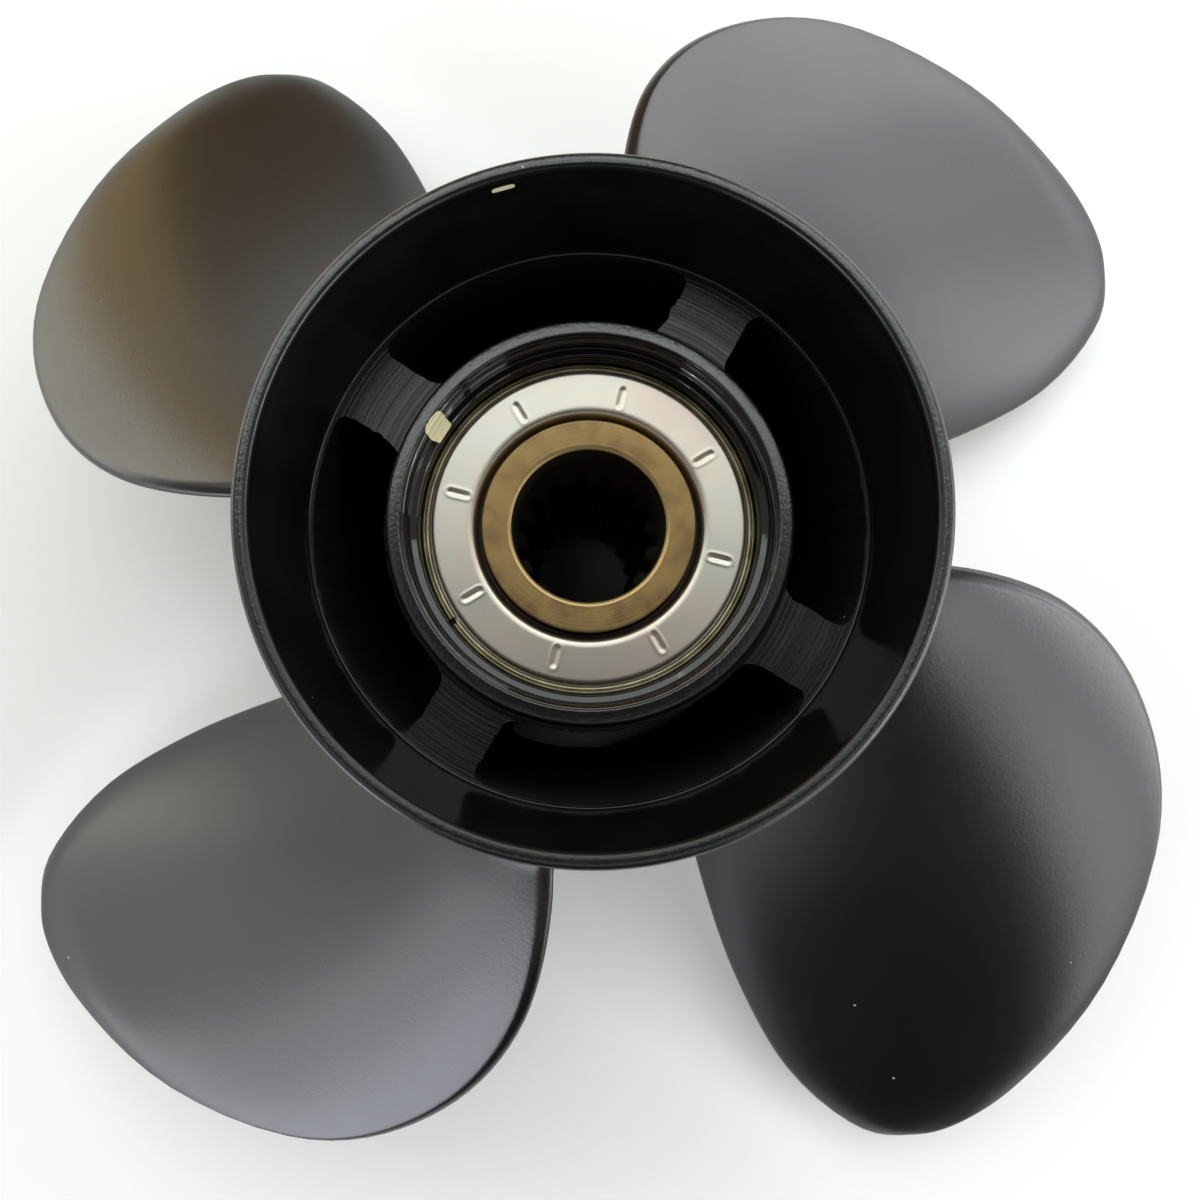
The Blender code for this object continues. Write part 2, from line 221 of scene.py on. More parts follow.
def add(tree, kind, inputs=None, **settings):
    """Adds a node; inputs maps a socket to a value or to another node's output."""
    made = tree.nodes.new(kind)
    for name, value in settings.items():
        setattr(made, name, value)
    for key, value in (inputs or {}).items():
        if isinstance(value, bpy.types.NodeSocket):
            tree.links.new(value, made.inputs[key])
        else:
            made.inputs[key].default_value = value
    return made


def shade(colour, factor):
    return tuple(part * factor for part in colour)


def maths(tree, operation, a, b=0.0, c=0.0):
    return add(tree, "ShaderNodeMath", {0: a, 1: b, 2: c}, operation=operation).outputs[0]


def place_and_radius(tree):
    """Object coordinates, and the distance from the shaft axis."""
    place = add(tree, "ShaderNodeTexCoord").outputs["Object"]
    flat = add(tree, "ShaderNodeVectorMath", {0: place, 1: (1, 1, 0)}, operation="MULTIPLY").outputs[0]
    return place, add(tree, "ShaderNodeVectorMath", {0: flat}, operation="LENGTH").outputs["Value"]


def grain_group():
    """Fine orange peel of sprayed paint, over a slow unevenness."""
    tree, ins, outs = shader_group("paint_grain", [("Fine", 1800.0), ("Slow", 25.0)], ["Height", "Slow"])
    place, _ = place_and_radius(tree)
    fine = add(tree, "ShaderNodeTexNoise", {"Vector": place, "Scale": ins.outputs["Fine"], "Detail": 2.0})
    slow = add(tree, "ShaderNodeTexNoise", {"Vector": place, "Scale": ins.outputs["Slow"], "Detail": 3.0})
    tree.links.new(fine.outputs["Fac"], outs.inputs["Height"])
    tree.links.new(slow.outputs["Fac"], outs.inputs["Slow"])
    return tree


def specks_group():
    """Scattered dust: small round specks in some cells of a Voronoi pattern."""
    inputs = [("Scale", 120.0), ("Size", 0.05), ("Share", 0.2)]
    tree, ins, outs = shader_group("dust_specks", inputs, ["Mask"])
    place, _ = place_and_radius(tree)
    cells = add(tree, "ShaderNodeTexVoronoi", {"Vector": place, "Scale": ins.outputs["Scale"]})
    near = maths(tree, "LESS_THAN", cells.outputs["Distance"], ins.outputs["Size"])
    split = add(tree, "ShaderNodeSeparateColor", {0: cells.outputs["Color"]})
    chosen = maths(tree, "LESS_THAN", split.outputs[0], ins.outputs["Share"])
    tree.links.new(maths(tree, "MULTIPLY", near, chosen), outs.inputs["Mask"])
    return tree


def turning_group():
    """Marks of a lathe tool: fine rings about the shaft axis that fade in and out."""
    tree, ins, outs = shader_group("turning_marks", [("Rings", 2500.0), ("Fade", 60.0)], ["Height", "Shade"])
    place, radius = place_and_radius(tree)
    rings = add(
        tree, "ShaderNodeTexNoise",
        {"W": maths(tree, "MULTIPLY", radius, ins.outputs["Rings"]), "Scale": 1.0, "Detail": 3.0},
        noise_dimensions="1D",
    )
    fade = add(tree, "ShaderNodeTexNoise", {"Vector": place, "Scale": ins.outputs["Fade"], "Detail": 1.0})
    tree.links.new(rings.outputs["Fac"], outs.inputs["Height"])
    tree.links.new(maths(tree, "MULTIPLY", rings.outputs["Fac"], fade.outputs["Fac"]), outs.inputs["Shade"])
    return tree


def patch(tree, place, radius, mark):
    """Nearness to a mark on a wall about the shaft axis: under 1 inside its rounded oblong."""
    angle, length, level, height, wall = mark
    split = add(tree, "ShaderNodeSeparateXYZ", {0: place})
    bearing = maths(tree, "ARCTAN2", split.outputs[1], split.outputs[0])
    turn = maths(tree, "SUBTRACT", bearing, math.radians(angle))
    along = maths(tree, "DIVIDE", maths(tree, "MULTIPLY", turn, radius), length * MM / 2)
    across = maths(tree, "DIVIDE", maths(tree, "SUBTRACT", split.outputs[2], level * MM), height * MM / 2)
    squares = [maths(tree, "POWER", maths(tree, "ABSOLUTE", side), 4.0) for side in (along, across)]
    depth = maths(tree, "ABSOLUTE", maths(tree, "SUBTRACT", radius, wall * MM))
    off_wall = maths(tree, "GREATER_THAN", depth, MARK_DEPTH * MM)
    return maths(tree, "ADD", maths(tree, "ADD", *squares), maths(tree, "MULTIPLY", off_wall, 9.0))


def marks_group():
    """Touches of cream marking paint on the walls, with uneven edges."""
    tree, ins, outs = shader_group("paint_marks", [("Ragged", 0.7)], ["Mask"])
    place, radius = place_and_radius(tree)
    near = maths(tree, "MINIMUM", *[patch(tree, place, radius, mark) for mark in CREAM_MARKS])
    edge = add(tree, "ShaderNodeTexNoise", {"Vector": place, "Scale": 900.0, "Detail": 2.0})
    reach = maths(tree, "MULTIPLY_ADD", edge.outputs["Fac"], ins.outputs["Ragged"], 0.7)
    tree.links.new(maths(tree, "LESS_THAN", near, reach), outs.inputs["Mask"])
    return tree


def blend(tree, mask, colour, other):
    """The colour, and the other one where the mask is 1."""
    if not isinstance(other, bpy.types.NodeSocket):
        other = (*other, 1.0)
    made = add(tree, "ShaderNodeMix", {0: mask, 6: colour, 7: other}, data_type="RGBA")
    return made.outputs[2]


def ramp(tree, value, stops):
    """A colour ramp from a list of (position, colour)."""
    made = add(tree, "ShaderNodeValToRGB", {"Fac": value})
    elements = made.color_ramp.elements
    while len(elements) < len(stops):
        elements.new(0.5)
    for element, (position, colour) in zip(elements, stops):
        element.position = position
        element.color = (*colour, 1.0)
    return made.outputs["Color"]


def new_material(name, colour, roughness, metallic=0.0, **sockets):
    made = bpy.data.materials.new(name)
    made.use_nodes = True
    shader = made.node_tree.nodes["Principled BSDF"]
    shader.inputs["Base Color"].default_value = (*colour, 1.0)
    shader.inputs["Roughness"].default_value = roughness
    shader.inputs["Metallic"].default_value = metallic
    for socket, value in sockets.items():
        shader.inputs[socket.replace("_", " ")].default_value = value
    return made, made.node_tree, shader


def bump(tree, shader, height, strength, relief=FINE_RELIEF):
    made = add(tree, "ShaderNodeBump", {"Height": height, "Strength": strength, "Distance": relief})
    tree.links.new(made.outputs["Normal"], shader.inputs["Normal"])


def group_node(tree, group, **values):
    made = tree.nodes.new("ShaderNodeGroup")
    made.node_tree = group
    for label, value in values.items():
        made.inputs[label].default_value = value
    return made


def satin_paint(name, colour, roughness, grain=0.12, ior=1.5):
    """Satin black paint over the casting: orange peel, uneven sheen, a few dust specks."""
    made, tree, shader = new_material(name, colour, roughness, IOR=ior)
    peel = group_node(tree, GRAIN, Fine=1400.0, Slow=22.0)
    dust = group_node(tree, SPECKS, Scale=90.0, Size=0.028, Share=0.22)
    spread = maths(tree, "MULTIPLY_ADD", peel.outputs["Slow"], 0.10, roughness - 0.05)
    tree.links.new(spread, shader.inputs["Roughness"])
    base = ramp(tree, peel.outputs["Slow"], [(0.3, shade(colour, 0.85)), (0.7, shade(colour, 1.2))])
    dusty = blend(tree, dust.outputs["Mask"], base, DUST)
    tree.links.new(dusty, shader.inputs["Base Color"])
    bump(tree, shader, peel.outputs["Height"], grain)
    return made


def gloss_paint():
    """Black paint inside, glossier on the hub than in the mouth, with two touches of cream paint."""
    made, tree, shader = new_material("gloss_black_inside", (0.003, 0.003, 0.003), 0.09, IOR=1.5)
    peel = group_node(tree, GRAIN, Fine=700.0, Slow=60.0)
    dust = group_node(tree, SPECKS, Scale=260.0, Size=0.03, Share=0.10)
    marks = group_node(tree, MARKS)
    black = ramp(tree, peel.outputs["Slow"], [(0.3, (0.003, 0.003, 0.003)), (0.7, (0.006, 0.006, 0.006))])
    dusty = blend(tree, dust.outputs["Mask"], black, shade(DUST, 0.35))
    marked = blend(tree, marks.outputs["Mask"], dusty, CREAM)
    tree.links.new(marked, shader.inputs["Base Color"])
    gloss = maths(tree, "MULTIPLY_ADD", peel.outputs["Slow"], 0.06, 0.02)
    _, radius = place_and_radius(tree)
    in_mouth = maths(tree, "GREATER_THAN", radius, MOUTH_FROM_RADIUS * MM)
    dulled = maths(tree, "MULTIPLY_ADD", in_mouth, 0.13, gloss)
    spread = maths(tree, "MULTIPLY_ADD", marks.outputs["Mask"], 0.3, dulled)
    tree.links.new(spread, shader.inputs["Roughness"])
    bump(tree, shader, peel.outputs["Height"], 0.04)
    return made


def dark_bore():
    """The splined bore, coloured a near-black brown."""
    made, tree, shader = new_material("dark_bore", (0.018, 0.015, 0.009), 0.45)
    peel = group_node(tree, GRAIN, Fine=500.0, Slow=110.0)
    tint = ramp(tree, peel.outputs["Slow"], [(0.3, (0.010, 0.009, 0.006)), (0.7, (0.030, 0.026, 0.016))])
    tree.links.new(tint, shader.inputs["Base Color"])
    bump(tree, shader, peel.outputs["Height"], 0.2)
    return made


def machined_paint(name, colour, roughness):
    """Paint over a turned face: the lathe rings still show through it."""
    made, tree, shader = new_material(name, colour, roughness, IOR=1.5)
    marks = group_node(tree, TURNING, Rings=2600.0, Fade=90.0)
    base = ramp(tree, marks.outputs["Shade"], [(0.15, shade(colour, 0.6)), (0.45, shade(colour, 1.6))])
    tree.links.new(base, shader.inputs["Base Color"])
    bump(tree, shader, marks.outputs["Height"], 0.35)
    return made


def aged_brass():
    """Olive-tan brass with fine mottling, a few browner stains, and a lighter, smoother band at the inner
    edge.
    """
    made, tree, shader = new_material("aged_brass", BRASS_TAN, 0.38, 1.0)
    marks = group_node(tree, TURNING, Rings=3000.0, Fade=70.0)
    peel = group_node(tree, GRAIN, Fine=700.0, Slow=260.0)
    stain = group_node(tree, GRAIN, Fine=420.0, Slow=95.0)
    mottle = ramp(
        tree, peel.outputs["Slow"],
        [(0.34, (0.225, 0.142, 0.066)), (0.50, BRASS_TAN), (0.66, (0.335, 0.226, 0.094))],
    )
    spread = maths(tree, "MULTIPLY_ADD", stain.outputs["Slow"], 6.0, -3.55)
    stained = blend(tree, maths(tree, "SMOOTH_MAX", spread, 0.0, 0.1), mottle, (0.17, 0.105, 0.05))
    _, radius = place_and_radius(tree)
    # A band at the inner edge of the face and chamfer is coloured lighter and made smoother.
    light_edge = maths(tree, "LESS_THAN", radius, (SLEEVE_BORE + LIGHT_EDGE_WIDTH) * MM)
    tree.links.new(blend(tree, light_edge, stained, (0.46, 0.33, 0.15)), shader.inputs["Base Color"])
    aged = maths(tree, "MULTIPLY_ADD", peel.outputs["Slow"], 0.2, 0.43)
    tree.links.new(maths(tree, "MULTIPLY_ADD", light_edge, -0.16, aged), shader.inputs["Roughness"])
    bump(tree, shader, marks.outputs["Height"], 0.15)
    return made


def pressed_stainless():
    """Satin stainless sheet, beige with faint pink and grey tints."""
    made, tree, shader = new_material("pressed_stainless", (0.54, 0.50, 0.42), 0.34, 1.0)
    peel = group_node(tree, GRAIN, Fine=260.0, Slow=70.0)
    tint = ramp(
        tree, peel.outputs["Slow"],
        [(0.32, (0.50, 0.485, 0.425)), (0.5, (0.55, 0.505, 0.425)), (0.70, (0.56, 0.45, 0.40))],
    )
    tree.links.new(tint, shader.inputs["Base Color"])
    tree.links.new(maths(tree, "MULTIPLY_ADD", peel.outputs["Slow"], 0.16, 0.26), shader.inputs["Roughness"])
    bump(tree, shader, peel.outputs["Height"], 0.02)
    return made


def olive_steel():
    """Plated spring steel, pale olive with darker patches."""
    made, tree, shader = new_material("olive_steel", (0.38, 0.35, 0.22), 0.42, 1.0)
    peel = group_node(tree, GRAIN, Fine=900.0, Slow=220.0)
    tint = ramp(tree, peel.outputs["Slow"], [(0.3, (0.24, 0.21, 0.11)), (0.7, (0.49, 0.45, 0.31))])
    tree.links.new(tint, shader.inputs["Base Color"])
    return made


def bush_rubber():
    made, tree, shader = new_material("bush_rubber", (0.022, 0.017, 0.012), 0.7)
    peel = group_node(tree, GRAIN, Fine=700.0, Slow=90.0)
    bump(tree, shader, peel.outputs["Height"], 0.3, relief=0.0003)
    tint = ramp(tree, peel.outputs["Slow"], [(0.3, (0.014, 0.010, 0.007)), (0.7, (0.036, 0.027, 0.018))])
    tree.links.new(tint, shader.inputs["Base Color"])
    return made


# Making of shapes.
def smooth(mesh):
    """Smooth shading, with the sharper corners left as corners."""
    mesh.shade_smooth()
    mesh.set_sharp_from_angle(angle=SHARP_ANGLE)


def placed(name, bm, materials, slot, nodes=()):
    """Turns a bmesh in millimetres into a finished piece in metres, at the origin."""
    bmesh.ops.remove_doubles(bm, verts=bm.verts, dist=MERGE_DISTANCE)
    bmesh.ops.recalc_face_normals(bm, faces=bm.faces)
    bmesh.ops.scale(bm, vec=(MM, MM, MM), verts=bm.verts)
    mesh = bpy.data.meshes.new(name)
    bm.to_mesh(mesh)
    bm.free()
    for made in materials:
        mesh.materials.append(made)
    smooth(mesh)
    thing = bpy.data.objects.new(name, mesh)
    bpy.context.scene.collection.objects.link(thing)
    if slot:
        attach(thing, "root")
        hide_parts(*nodes)
    return thing


def bend(start, corner, stop):
    """Points between the two ends of a round corner."""
    shares = [k / CORNER_STEPS for k in range(1, CORNER_STEPS)]
    return [start * (1 - t) ** 2 + corner * 2 * t * (1 - t) + stop * t**2 for t in shares]


def rounded(corners, step=2.5):
    """A closed outline of (radius, height) points from corners of (radius, height, rounding)."""
    points = []
    count = len(corners)
    for i, (x, y, rounding) in enumerate(corners):
        here = Vector((x, y))
        before = Vector(corners[i - 1][:2])
        after = Vector(corners[(i + 1) % count][:2])
        if rounding <= 0:
            points.append(here)
            continue
        start = here + (before - here).normalized() * rounding
        stop = here + (after - here).normalized() * rounding
        points += [start, *bend(start, here, stop), stop]
    filled = []
    for i, point in enumerate(points):
        after = points[(i + 1) % len(points)]
        pieces = max(1, int((after - point).length / step))
        filled += [point.lerp(after, k / pieces) for k in range(pieces)]
    return filled


def turned(outline, steps=TURN_STEPS, sweep=2 * math.pi):
    """Spins a closed outline of (radius, height) points about the shaft axis."""
    bm = bmesh.new()
    verts = [bm.verts.new((point[0], 0.0, point[1])) for point in outline]
    edges = [bm.edges.new((verts[i - 1], verts[i])) for i in range(len(verts))]
    full = sweep > 2 * math.pi - 1e-6
    bmesh.ops.spin(
        bm, geom=verts + edges, cent=(0, 0, 0), axis=(0, 0, 1), angle=sweep, steps=steps, use_merge=full,
    )
    return bm


def apply_boolean(base, tool, operation):
    """Applies an exact Boolean with the tool, and removes the tool."""
    step = base.modifiers.new("cut", "BOOLEAN")
    step.operation = operation
    step.solver = "EXACT"
    step.object = tool
    shown = bpy.context.evaluated_depsgraph_get()
    mesh = bpy.data.meshes.new_from_object(base.evaluated_get(shown))
    base.modifiers.remove(step)
    old = base.data
    base.data = mesh
    bpy.data.meshes.remove(old)
    bpy.data.objects.remove(tool)


# Casting.
def barrel_radius(level):
    """Outer radius of the barrel: flared at the aft rim, narrow at the waist, full at the front."""
    if level < WAIST_HEIGHT:
        return WAIST_RADIUS + (AFT_RIM_RADIUS - WAIST_RADIUS) * (1 - level / WAIST_HEIGHT) ** 2
    rise = min((level - WAIST_HEIGHT) / (SWELL_HEIGHT - WAIST_HEIGHT), 1.0)
    return WAIST_RADIUS + (RIM_RADIUS - WAIST_RADIUS) * rise**2 * (3 - 2 * rise)


def casting_outline():
    """Half section of barrel, web and inner hub, with the small roundings of its edges."""
    flare_levels = [WAIST_HEIGHT * i / FLARE_STEPS for i in range(1, FLARE_STEPS + 1)]
    swell = SWELL_HEIGHT - WAIST_HEIGHT
    swell_levels = [WAIST_HEIGHT + swell * i / SWELL_STEPS for i in range(1, SWELL_STEPS + 1)]
    outside = [(AFT_RIM_RADIUS, 0.0, 0.6)]
    outside += [(barrel_radius(level), level, 0.0) for level in flare_levels + swell_levels]
    rim = [
        (RIM_RADIUS, FRONT - RIM_FALL, 1.5),
        (MOUTH_RADIUS, FRONT, 1.2),
        (MOUTH_RADIUS, FRONT - MOUTH_EDGE_DEPTH, 0.6),
        (SEAT_RADIUS, WEB_TOP + SEAT_CHAMFER_HEIGHT, 0.15),
        (SEAT_RADIUS - SEAT_CHAMFER, WEB_TOP, 0.1),
    ]
    hub = [
        (HUB_RADIUS, WEB_TOP, 1.6),
        (HUB_RADIUS, LIP_HEIGHT - LIP_FALL, 0.8),
        (LIP_INNER_RADIUS, LIP_HEIGHT, 0.5),
        (LIP_INNER_RADIUS - LIP_STEP, LIP_HEIGHT - LIP_BAND, 0.1),
        (LIP_INNER_RADIUS - 2 * LIP_STEP, LIP_HEIGHT - LIP_BAND - LIP_GROOVE, 0.1),
        (STEP_RADIUS + LIP_GROOVE, LIP_HEIGHT - LIP_CONE_DEPTH + LIP_GROOVE, 0.1),
        (STEP_RADIUS, LIP_HEIGHT - LIP_CONE_DEPTH, 0.1),
        (STEP_RADIUS, STEP_HEIGHT + LEDGE_FALL, 0.25),
        (THROAT_RADIUS, STEP_HEIGHT, 0.4),
        (THROAT_RADIUS, GROOVE_TOP, 0.15),
        (GROOVE_RADIUS, GROOVE_TOP, 0.1),
        (GROOVE_RADIUS, GROOVE_TOP - GROOVE_WIDTH, 0.1),
        (BUSH_BORE_RADIUS, GROOVE_TOP - GROOVE_WIDTH, 0.15),
        (BUSH_BORE_RADIUS, SHOULDER_HEIGHT, 0.4),
        (SHOULDER_RADIUS, SHOULDER_HEIGHT, 0.3),
        (SHOULDER_RADIUS, WEB_FOOT, 0.8),
        (barrel_radius(WEB_FOOT) - AFT_WALL, WEB_FOOT, 2.0),
    ]
    aft = [(barrel_radius(level) - AFT_WALL, level, 0.0) for level in flare_levels[-3::-1]]
    aft.append((AFT_RIM_RADIUS - AFT_WALL, 0.0, 0.6))
    return rounded(outside + rim + hub + aft)


def on_circle(radius, angle):
    return Vector((radius * math.cos(angle), radius * math.sin(angle)))


def rib_side(start, stop):
    """Points along the side of a rib, clear of the round corners at both ends."""
    inset = (stop - start).normalized() * PASSAGE_CORNER
    return [(start + inset).lerp(stop - inset, k / SIDE_STEPS) for k in range(SIDE_STEPS + 1)]


def core_outline(rib, next_rib):
    """Plan of one exhaust passage: a sector between two ribs, with round corners and rough edges."""
    arcs = []
    for radius in (PASSAGE_RADIUS, PASSAGE_INNER_RADIUS):
        inset = math.asin(RIB_WIDTH / 2 / radius)
        trim = PASSAGE_CORNER / radius
        start = math.radians(rib) + inset
        stop = math.radians(next_rib) - inset
        turns = [start + trim + (stop - start - 2 * trim) * i / ARC_STEPS for i in range(ARC_STEPS + 1)]
        arc = [on_circle(radius, turn) for turn in turns]
        arcs.append((on_circle(radius, start), arc, on_circle(radius, stop)))
    (outer_start, outer, outer_stop), (inner_start, inner, inner_stop) = arcs
    far = rib_side(outer_stop, inner_stop)
    near = rib_side(inner_start, outer_start)
    plan = outer + bend(outer[-1], outer_stop, far[0]) + far + bend(far[-1], inner_stop, inner[-1])
    plan += inner[::-1] + bend(inner[0], inner_start, near[0]) + near + bend(near[-1], outer_start, outer[0])
    return [rough(point) for point in plan]


def rough(point):
    """Moves a point of a core's plan a little, as the skin of a sand casting is uneven."""
    broad = Vector((point.x * BROAD_WAVES, point.y * BROAD_WAVES, 0.0))
    fine = Vector((point.x * FINE_WAVES, point.y * FINE_WAVES, FINE_WAVES_LEVEL))
    push = CORE_UNEVENNESS * (noise.noise(broad) + FINE_WAVES_SHARE * noise.noise(fine))
    return point * (1 + push / point.length) + Vector((-point.y, point.x)) * push / point.length


def narrowed(level):
    """Scale of a passage's plan at that height: 1 at the web's front face, less further aft."""
    return 1 - PASSAGE_TAPER * (WEB_TOP - level)


def passage_cores():
    """The cores of the four exhaust passages, raised through the web and narrower aft."""
    bm = bmesh.new()
    foot = WEB_FOOT - CORE_OVERRUN
    top = WEB_TOP + CORE_OVERRUN
    scale = narrowed(foot)
    spread = narrowed(top) / scale
    next_ribs = RIB_ANGLES[1:] + (RIB_ANGLES[0] + 360.0,)
    for rib, next_rib in zip(RIB_ANGLES, next_ribs):
        plan = [point * scale for point in core_outline(rib, next_rib)]
        face = bm.faces.new([bm.verts.new((point.x, point.y, foot)) for point in plan])
        grown = bmesh.ops.extrude_face_region(bm, geom=[face])
        raised = [item for item in grown["geom"] if isinstance(item, bmesh.types.BMVert)]
        bmesh.ops.translate(bm, verts=raised, vec=(0, 0, top - foot))
        bmesh.ops.scale(bm, verts=raised, vec=(spread, spread, 1))
    return bm


def smooth_curve(points, position):
    """A point of the curve through all the points; position runs from 0 to 1."""
    last = len(points) - 1
    at = min(position * last, last - 1e-9)
    i = int(at)
    t = at - i
    before = points[max(i - 1, 0)]
    start = points[i]
    stop = points[i + 1]
    after = points[min(i + 2, last)]
    return tuple(
        0.5 * (2 * b + (c - a) * t + (2 * a - 5 * b + 4 * c - d) * t**2 + (3 * b - a - 3 * c + d) * t**3)
        for a, b, c, d in zip(before, start, stop, after)
    )


def edges_at(position):
    """Leading and trailing edge points at a position from root (0) to tip (1)."""
    return smooth_curve(BLADE_OUTLINE, position / 2), smooth_curve(BLADE_OUTLINE, 1 - position / 2)


def position_at(edge, radius):
    """Where along the leading (0) or trailing (1) edge the radius is reached, by halving."""
    low, high = 0.0, OUTERMOST_POSITION
    for _ in range(HALVINGS):
        middle = (low + high) / 2
        if edges_at(middle)[edge][1] < radius:
            low = middle
        else:
            high = middle
    return low


def blade_point(round_distance, radius, offset):
    """A point of the blade, offset along the normal of its screw surface."""
    turn = round_distance / radius
    angle = math.radians(BLADE_PHASE) + turn
    out = radius - RAKE_FROM_RADIUS
    level = FRONT - RAKE_DEPTH - RAKE_SLOPE * out + RAKE_EASE * out**2 + LEAD * turn
    around = Vector((-math.sin(angle), math.cos(angle), 0.0))
    normal = (Vector((0.0, 0.0, radius)) - around * LEAD).normalized()
    return Vector((radius * math.cos(angle), radius * math.sin(angle), level)) + normal * offset


def fillet_swell(above_barrel):
    """How far the root fillet stands off the blade, that high above the barrel."""
    left = FILLET - min(max(above_barrel, 0.0), FILLET)
    return FILLET - math.sqrt(FILLET**2 - left**2)


def chord_stops(chord):
    """Shares of the chord with how far each edge has closed: round edges, then the body between."""
    edge = min(EDGE_THICKNESS / 2, chord * NARROWEST_SHARE)
    bends = [math.pi / 2 * i / EDGE_STEPS for i in range(EDGE_STEPS)]
    near = [(edge * (1 - math.cos(bend)) / chord, math.sin(bend)) for bend in bends]
    body = []
    for i in range(BODY_STEPS + 1):
        share = (1 - math.cos(math.pi * i / BODY_STEPS)) / 2
        body.append((edge / chord + (1 - 2 * edge / chord) * share, 1.0))
    return near + body + [(1 - share, closed) for share, closed in near[::-1]]


def blade_section(lead_edge, trail_edge):
    """One closed section: along the front face from the leading edge, then back along the aft face."""
    lead_u, lead_r = lead_edge
    trail_u, trail_r = trail_edge
    out = (lead_r + trail_r) / 2 - RAKE_FROM_RADIUS
    outwards = min(max(out / (TIP_RADIUS - RAKE_FROM_RADIUS), 0.0), 1.0)
    belly = TIP_THICKNESS + (HUB_THICKNESS - TIP_THICKNESS) * (1 - outwards) ** THINNING
    chord = math.hypot(lead_u - trail_u, lead_r - trail_r)
    full = min(chord / FULL_CHORD, 1.0)
    front = []
    aft = []
    for share, closed in chord_stops(chord):
        fullness = full * math.sin(math.pi * share) ** BELLY_FULLNESS
        thickness = EDGE_THICKNESS + (belly - EDGE_THICKNESS) * fullness
        curl = CUP * full * max(0.0, (share - CUP_FROM) / (1 - CUP_FROM)) ** 2
        round_distance = lead_u + (trail_u - lead_u) * share
        radius = lead_r + (trail_r - lead_r) * share
        level = blade_point(round_distance, radius, 0.0).z
        swell = fillet_swell(radius - barrel_radius(level))
        reach = swell * math.sqrt(1 - closed**2)
        round_distance += reach if share < 0.5 else -reach
        middle = (thickness - EDGE_THICKNESS) / 2 - curl
        half = (thickness / 2 + swell) * closed
        front.append(blade_point(round_distance, radius, middle + half))
        aft.append(blade_point(round_distance, radius, middle - half))
    return front + aft[-2:0:-1]


def blade_rows():
    """Leading and trailing edge of each row, from inside the barrel wall to the tip."""
    near = [WAIST_RADIUS - ROOT_SINK, WAIST_RADIUS - ROOT_SINK / 3, WAIST_RADIUS]
    fillet_top = RIM_RADIUS + FILLET
    crowded = [(i / FILLET_ROWS) ** CROWDING for i in range(1, FILLET_ROWS + 1)]
    near += [WAIST_RADIUS + (fillet_top - WAIST_RADIUS) * share for share in crowded]
    far = [fillet_top + (TIP_FROM_RADIUS - fillet_top) * i / BODY_ROWS for i in range(1, BODY_ROWS + 1)]
    rows = []
    for radius in near + far:
        rows.append((edges_at(position_at(0, radius))[0], edges_at(position_at(1, radius))[1]))
    starts = [position_at(edge, TIP_FROM_RADIUS) for edge in (0, 1)]
    for i in range(1, TIP_ROWS + 1):
        share = math.sin(math.pi / 2 * i / (TIP_ROWS + 1))
        lead, trail = [edges_at(start + (1 - start) * share)[edge] for edge, start in enumerate(starts)]
        rows.append((lead, trail))
    return rows


def blades():
    """All blades as closed shells: a root ring of edges, extruded row by row to the tip."""
    bm = bmesh.new()
    rows = blade_rows()
    ring_size = len(blade_section(*rows[0]))
    for number in range(BLADE_COUNT):
        turn = Matrix.Rotation(2 * math.pi * number / BLADE_COUNT, 3, "Z")
        ring = bmesh.ops.create_circle(bm, segments=ring_size, radius=1.0)["verts"]
        edges = list({edge for vert in ring for edge in vert.link_edges})
        for vert, point in zip(ring, blade_section(*rows[0])):
            vert.co = turn @ point
        bm.faces.new(ring)
        for row in rows[1:]:
            grown = bmesh.ops.extrude_edge_only(bm, edges=edges)["geom"]
            edges = [item for item in grown if isinstance(item, bmesh.types.BMEdge)]
            step = {}
            for vert in [item for item in grown if isinstance(item, bmesh.types.BMVert)]:
                old = next(edge.other_vert(vert) for edge in vert.link_edges if edge.other_vert(vert) in ring)
                step[old] = vert
            ring = [step[vert] for vert in ring]
            for vert, point in zip(ring, blade_section(*row)):
                vert.co = turn @ point
        bm.faces.new(ring)
    return bm


def finish_casting(mesh):
    """Gives each face the finish of its place: outside, gloss inside, faced web, end face or cored wall."""
    outside, inside, faced, end_face, cored = range(5)
    for face in mesh.polygons:
        centre = face.center / MM
        radius = math.hypot(centre.x, centre.y)
        level = centre.z
        flat = face.normal.z > FLATNESS
        steep = abs(face.normal.z) < STEEPNESS
        at_rim = level > FRONT - RIM_BAND
        in_web = WEB_FOOT < level < WEB_TOP - NEAR and HUB_RADIUS + HUB_BAND < radius < SEAT_RADIUS
        on_web = abs(level - WEB_TOP) < NEAR and radius > HUB_RADIUS + 2 * HUB_BAND
        on_lip = level > LIP_HEIGHT - LIP_FALL - 2 * NEAR and radius < HUB_RADIUS + NEAR
        if at_rim and face.normal.z > RIM_FLATNESS:
            face.material_index = end_face
        elif at_rim or radius > barrel_radius(level) - AFT_WALL / 2:
            face.material_index = outside
        elif in_web and steep:
            face.material_index = cored
        elif flat and on_web:
            face.material_index = faced
        elif flat and on_lip:
            face.material_index = end_face
        else:
            face.material_index = inside


def make_casting():
    finishes = [OUTSIDE_PAINT, INSIDE_GLOSS, FACED_WEB, END_FACE_PAINT, CORED_WALL]
    casting = placed("casting", turned(casting_outline()), finishes, "black_paint", ["propeller_casting"])
    apply_boolean(casting, placed("passage_cores", passage_cores(), [], None), "DIFFERENCE")
    apply_boolean(casting, placed("blade_shells", blades(), [], None), "UNION")
    finish_casting(casting.data)
    smooth(casting.data)
    return casting


